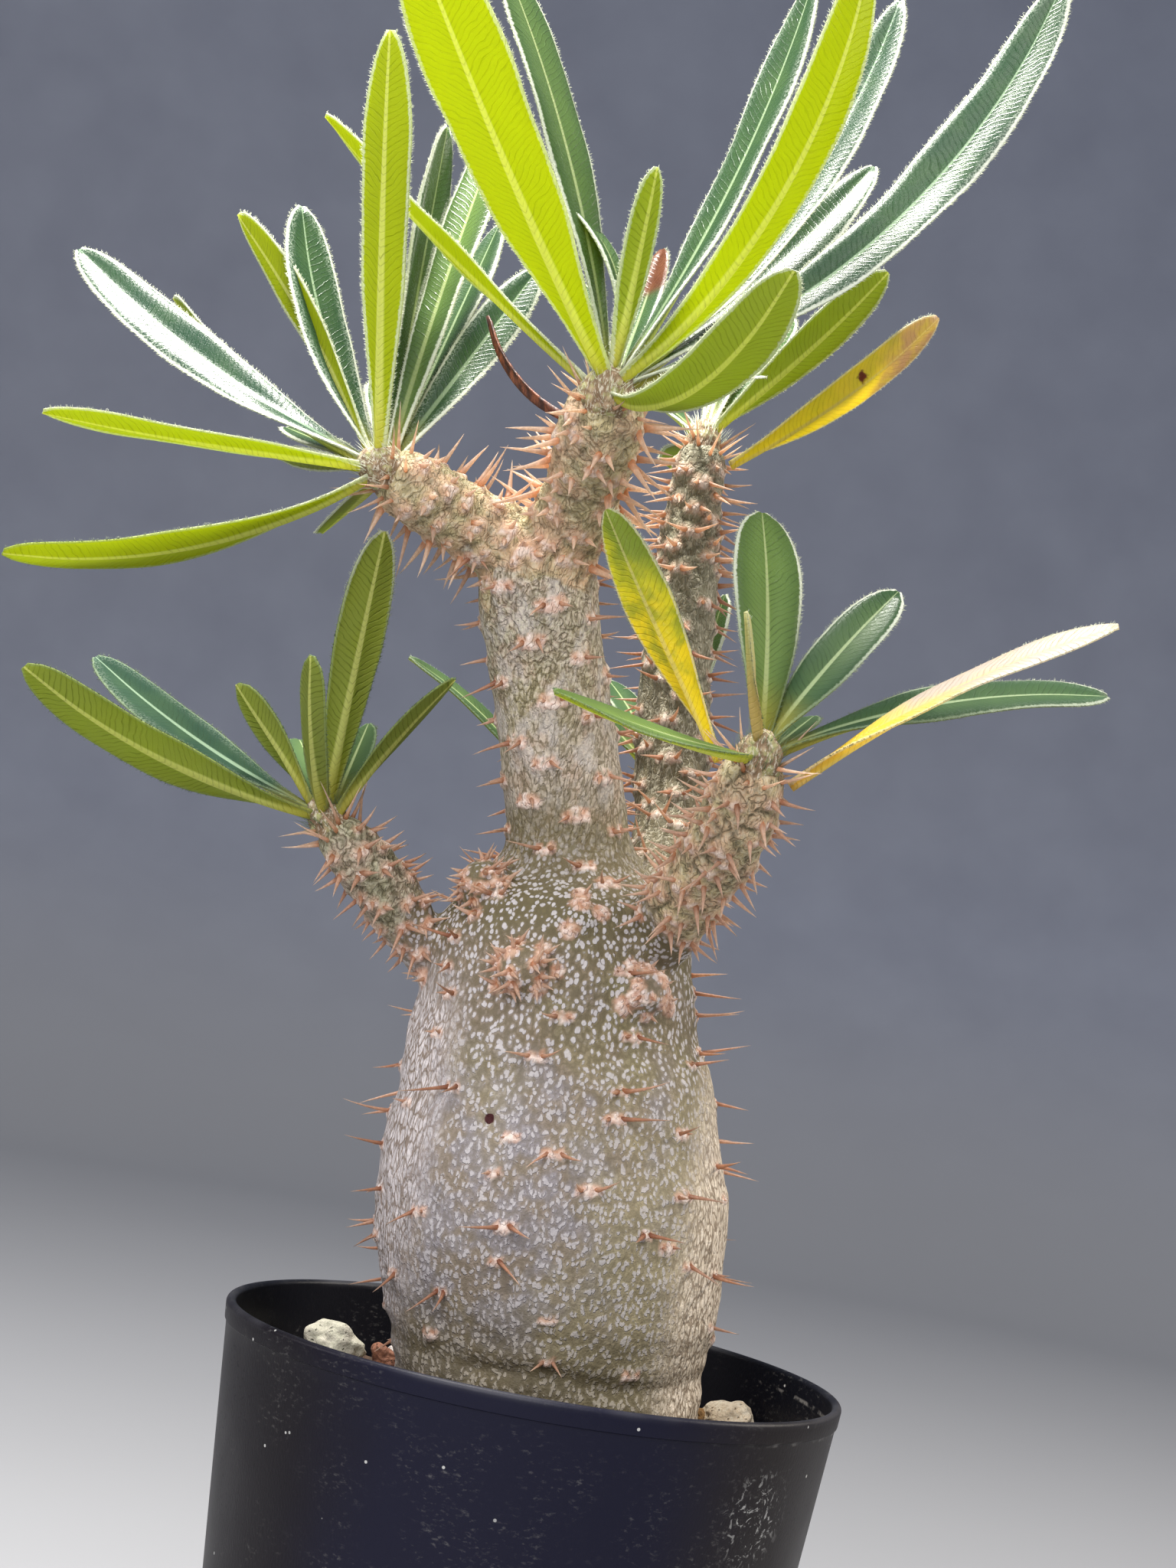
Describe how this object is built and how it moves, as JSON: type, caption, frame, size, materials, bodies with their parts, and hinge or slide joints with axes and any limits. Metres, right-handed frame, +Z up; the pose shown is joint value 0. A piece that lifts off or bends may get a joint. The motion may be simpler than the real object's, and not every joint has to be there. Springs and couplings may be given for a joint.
{
  "type": "potted pachypodium",
  "caption": "Spiny swollen-stemmed succulent with leafy branches, in a round tapered plastic pot filled with gritty mix.",
  "frame": {"origin": "centre of the pot's flat base, on the surface that it stands on", "axes": "+Z is up the pot's axis; the plant leans towards -X and its open front faces -Y"},
  "size_m": [0.1602, 0.1496, 0.2994],
  "materials": {
    "pot_plastic": "matt black moulded plastic",
    "soil_grains": "dark gritty mix of pumice and baked clay grains",
    "pale_stone": "rough pale pumice",
    "warm_stone": "rough red-brown grain",
    "bark": "grey-olive bark with pale flecks and red-brown spines",
    "leaf_green": "leathery green leaf, glossy above, pale and downy below",
    "leaf_yellow": "leaf turning yellow",
    "leaf_dry": "dried curled leaf"
  },
  "bodies": {
    "root": {"pot": "pot_plastic", "soil": "soil_grains", "stone_pumice": "pale_stone", "stone_beige": "pale_stone", "stone_white": "pale_stone", "stone_red": "warm_stone", "stone_orange": "warm_stone", "trunk": "bark", "leaves_top_left": "leaf_green", "leaves_top_centre": "leaf_green", "leaves_back": "leaf_green", "leaves_low_left": "leaf_green", "leaves_low_right": "leaf_green", "leaves_behind": "leaf_green", "leaves_right": "leaf_green", "yellow_leaf_back": "leaf_yellow", "yellow_leaf_low_left": "leaf_yellow", "yellow_leaf_low_right": "leaf_yellow", "dry_leaf": "leaf_dry"}
  },
  "joints": []
}
